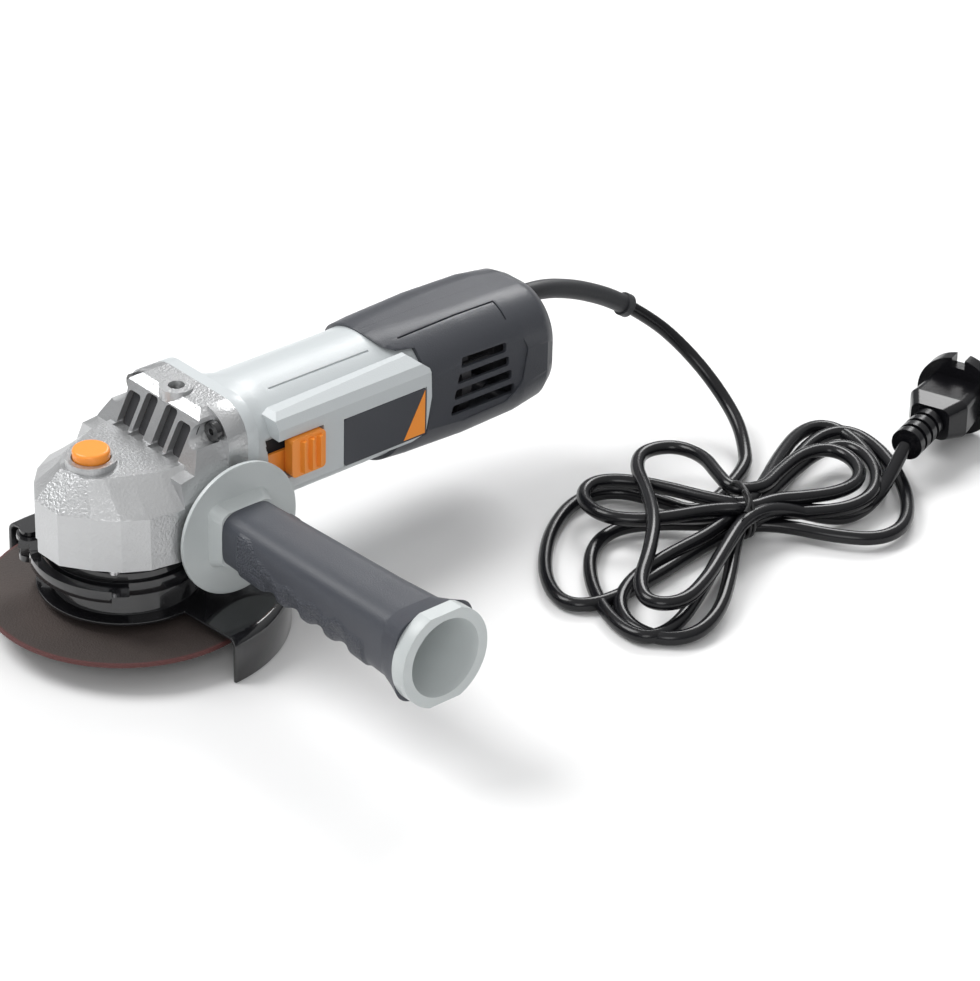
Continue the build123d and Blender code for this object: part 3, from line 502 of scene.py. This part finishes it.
grip_tree = grip_rubber.node_tree
pad_read = grip_tree.nodes.new("ShaderNodeAttribute")
pad_read.attribute_name = "pad"
stipple = grip_tree.nodes.new("ShaderNodeTexVoronoi")
stipple.inputs["Scale"].default_value = 900
grip_coords = next(n for n in grip_tree.nodes if n.type == "TEX_COORD")
grip_bump = next(n for n in grip_tree.nodes if n.type == "BUMP")
grip_tree.links.new(grip_coords.outputs["Object"], stipple.inputs["Vector"])
dots = grip_tree.nodes.new("ShaderNodeMath")
dots.operation = "MULTIPLY"
grip_tree.links.new(stipple.outputs["Distance"], dots.inputs[0])
grip_tree.links.new(pad_read.outputs["Fac"], dots.inputs[1])
pad_bump = grip_tree.nodes.new("ShaderNodeBump")
pad_bump.inputs["Strength"].default_value = 1.0
pad_bump.inputs["Distance"].default_value = 0.0006
pad_bump.invert = True
grip_tree.links.new(dots.outputs[0], pad_bump.inputs["Height"])
grip_tree.links.new(grip_bump.outputs["Normal"], pad_bump.inputs["Normal"])
grip_tree.links.new(pad_bump.outputs["Normal"], grip_tree.nodes["Principled BSDF"].inputs["Normal"])


# ---- cutting disc ----
# Resin-bonded abrasive on glass mesh, pressed flat, with a coarse speckle and a reddish rim. The
# nut clamps it to the backing flange.
RIM_FROM, RIM_TO = 0.0562, 0.0572
RIM_RED = (0.10, 0.032, 0.030, 1)
abrasive = finish("abrasive", (0.028, 0.022, 0.020), (0.075, 0.055, 0.048), 0.72, 1300, 0.9,
                  0.8, 0.1)
dress(nodes["cutting_disc"], abrasive)
disc_tree = abrasive.node_tree
disc_coords = next(n for n in disc_tree.nodes if n.type == "TEX_COORD")
flat = disc_tree.nodes.new("ShaderNodeVectorMath")
flat.operation = "MULTIPLY"
flat.inputs[1].default_value = (1, 1, 0)
reach = disc_tree.nodes.new("ShaderNodeVectorMath")
reach.operation = "LENGTH"
rim = disc_tree.nodes.new("ShaderNodeMapRange")
rim.inputs["From Min"].default_value = RIM_FROM
rim.inputs["From Max"].default_value = RIM_TO
tint = disc_tree.nodes.new("ShaderNodeMix")
tint.data_type = "RGBA"
tint.inputs["B"].default_value = RIM_RED
disc_skin = next(n for n in disc_tree.nodes if n.type == "GROUP")
disc_tree.links.new(disc_coords.outputs["Object"], flat.inputs[0])
disc_tree.links.new(flat.outputs[0], reach.inputs[0])
disc_tree.links.new(reach.outputs["Value"], rim.inputs["Value"])
disc_tree.links.new(rim.outputs["Result"], tint.inputs["Factor"])
disc_tree.links.new(disc_skin.outputs["Colour"], tint.inputs["A"])
disc_shader = disc_tree.nodes["Principled BSDF"]
disc_tree.links.new(tint.outputs["Result"], disc_shader.inputs["Base Color"])


# ---- floor and lights ----
# Pale paper floor just under the guard's skirt, and a grey-to-white sky. A big soft key hangs on
# the tool's right, with a fill in front and a rim light behind.
AIM_AT = Vector((-0.12, 0.04, 0.03))
floor_mesh = bpy.data.meshes.new("floor")
floor_build = bmesh.new()
bmesh.ops.create_grid(floor_build, x_segments=1, y_segments=1, size=4.0)
bmesh.ops.translate(floor_build, vec=(0, 0, cad_box[0][2] - 0.0002), verts=floor_build.verts)
floor_build.to_mesh(floor_mesh)
floor_build.free()
floor = bpy.data.objects.new("floor", floor_mesh)
bpy.context.scene.collection.objects.link(floor)
dress(floor, finish("floor_paper", (0.86, 0.86, 0.86), (0.84, 0.84, 0.84), 0.8, 60, 0.02))

world = bpy.data.worlds.new("studio")
bpy.context.scene.world = world
world.use_nodes = True
sky = world.node_tree.nodes["Background"]
sky_coords = world.node_tree.nodes.new("ShaderNodeTexCoord")
sky_height = world.node_tree.nodes.new("ShaderNodeSeparateXYZ")
sky_ramp = world.node_tree.nodes.new("ShaderNodeValToRGB")
sky_ramp.color_ramp.elements[0].position = 0.05
sky_ramp.color_ramp.elements[0].color = (0.28, 0.29, 0.30, 1)
sky_ramp.color_ramp.elements[1].position = 0.85
sky_ramp.color_ramp.elements[1].color = (1.0, 1.0, 1.0, 1)
world.node_tree.links.new(sky_coords.outputs["Generated"], sky_height.inputs["Vector"])
world.node_tree.links.new(sky_height.outputs["Z"], sky_ramp.inputs["Fac"])
world.node_tree.links.new(sky_ramp.outputs["Color"], sky.inputs["Color"])
sky.inputs["Strength"].default_value = 0.75


def soft_light(name, place, size, power):
    """Round soft light, turned towards the middle of the tool."""
    data = bpy.data.lights.new(name, "AREA")
    data.shape = "DISK"
    data.size = size
    data.energy = power
    lamp = bpy.data.objects.new(name, data)
    lamp.location = place
    aim = AIM_AT - Vector(place)
    lamp.rotation_euler = aim.to_track_quat("-Z", "Y").to_euler()
    bpy.context.scene.collection.objects.link(lamp)


soft_light("key", (0.5, -0.7, 1.3), 0.9, 16)
soft_light("fill", (0.9, 1.0, 0.8), 0.8, 5)
soft_light("rim", (-1.0, -0.5, 0.9), 0.6, 8)
bpy.context.scene.view_settings.view_transform = "Standard"
